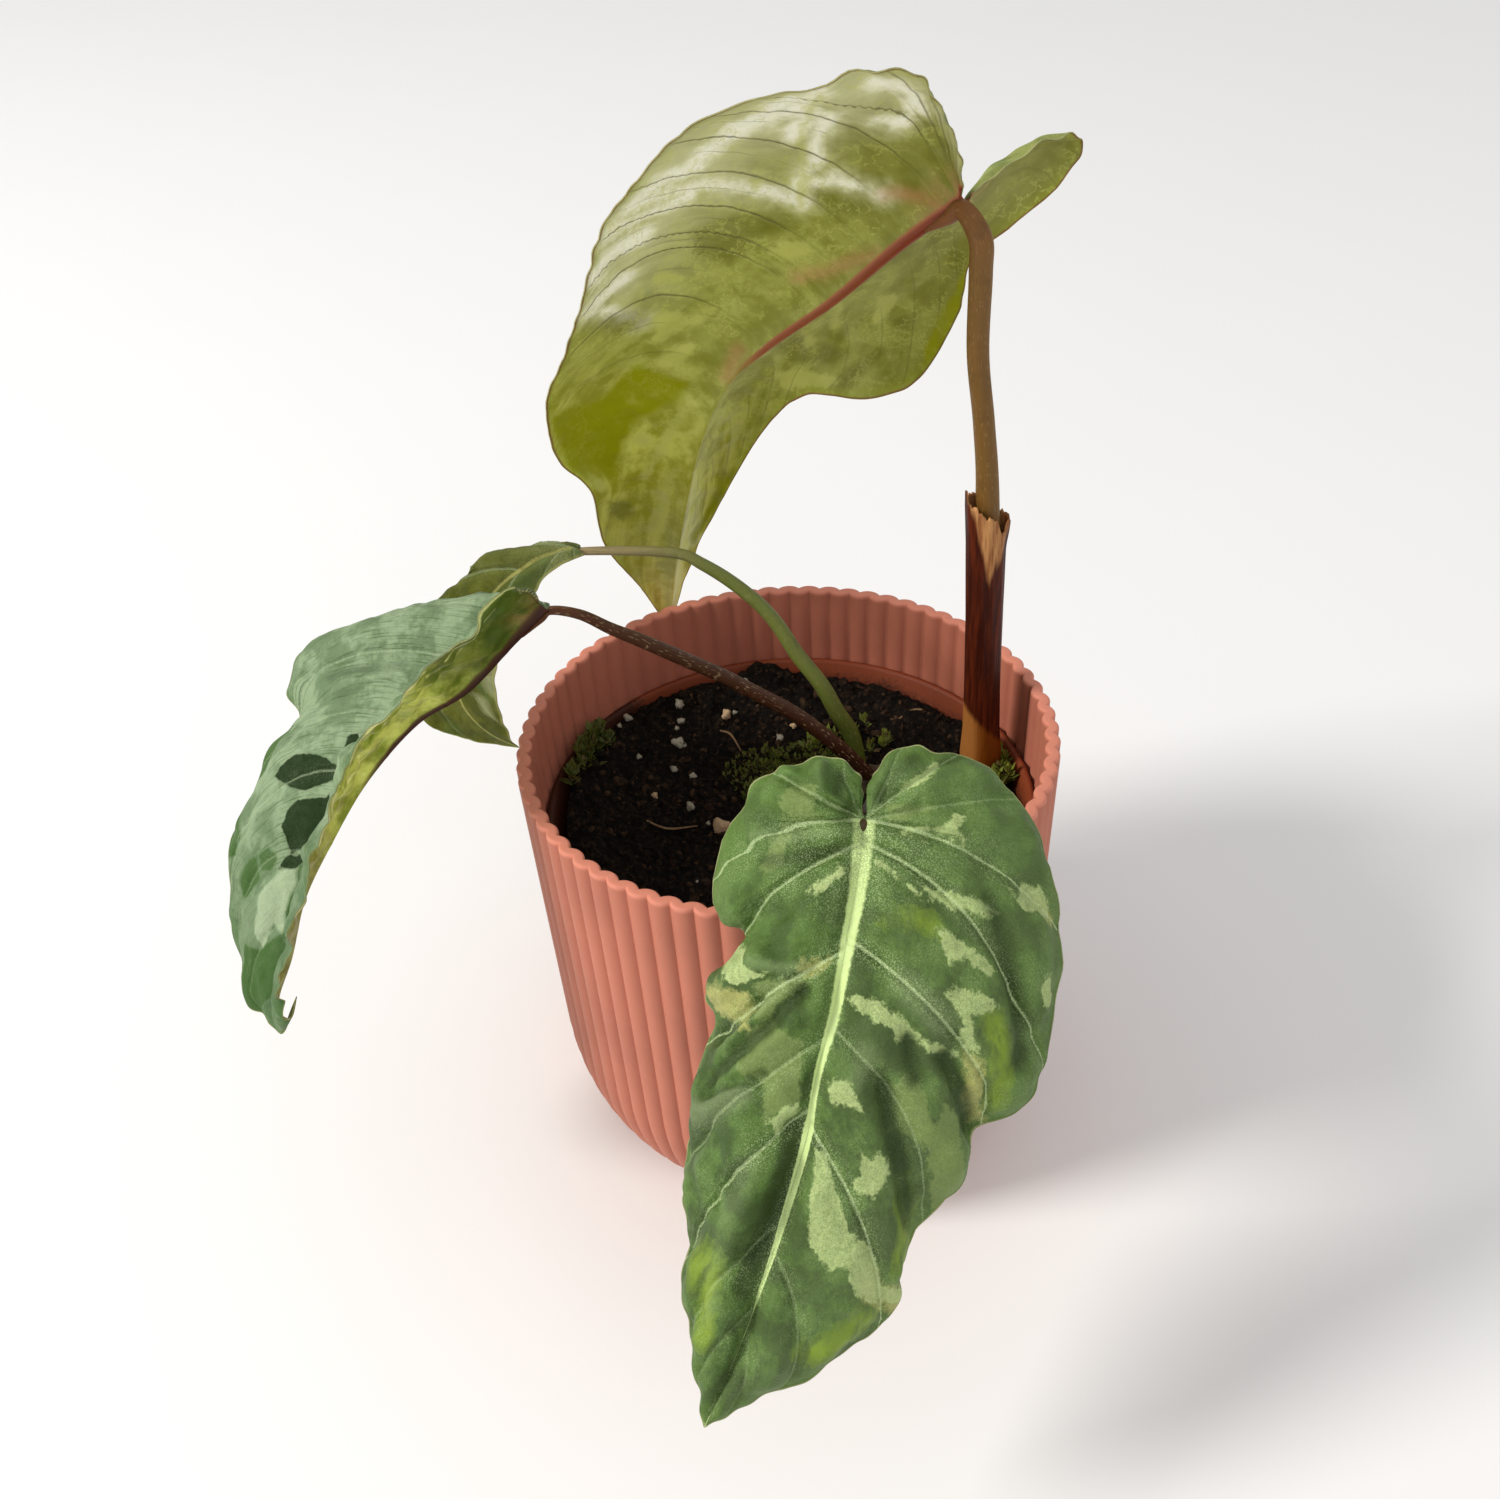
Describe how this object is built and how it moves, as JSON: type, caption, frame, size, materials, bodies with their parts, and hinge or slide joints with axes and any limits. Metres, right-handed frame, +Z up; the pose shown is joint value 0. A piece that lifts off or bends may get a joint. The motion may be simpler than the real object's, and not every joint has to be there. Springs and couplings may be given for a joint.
{
  "type": "potted philodendron plant",
  "caption": "Variegated heart-leaved creeping houseplant with long-stalked leaves, growing in a small pot inside a fluted round cover pot.",
  "frame": {"origin": "middle of the cover pot's flat base, on the surface it stands on", "axes": "+Z up along the pot's axis; -Y towards the drooping front leaf; +X towards the tall leaf's stalk"},
  "size_m": [0.2201, 0.2377, 0.2903],
  "materials": {
    "cover_pot": "matt salmon pink",
    "nursery_pot": "matt brick red",
    "potting_mix": "damp dark crumb",
    "rhizome": "rough, mossy",
    "sheath": "dry papery satin",
    "petiole_tall": "satin",
    "petiole_front": "satin",
    "petiole_left": "satin",
    "petiole_back": "satin",
    "blade_tall": "satin",
    "blade_front": "velvety",
    "blade_left": "velvety",
    "blade_back": "velvety"
  },
  "bodies": {
    "root": {"cover_pot": "cover_pot", "nursery_pot": "nursery_pot", "potting_mix": "potting_mix", "rhizome": "rhizome", "sheath": "sheath", "petiole_tall": "petiole_tall", "petiole_front": "petiole_front", "petiole_left": "petiole_left", "petiole_back": "petiole_back", "blade_tall": "blade_tall", "blade_front": "blade_front", "blade_left": "blade_left", "blade_back": "blade_back"}
  },
  "joints": []
}
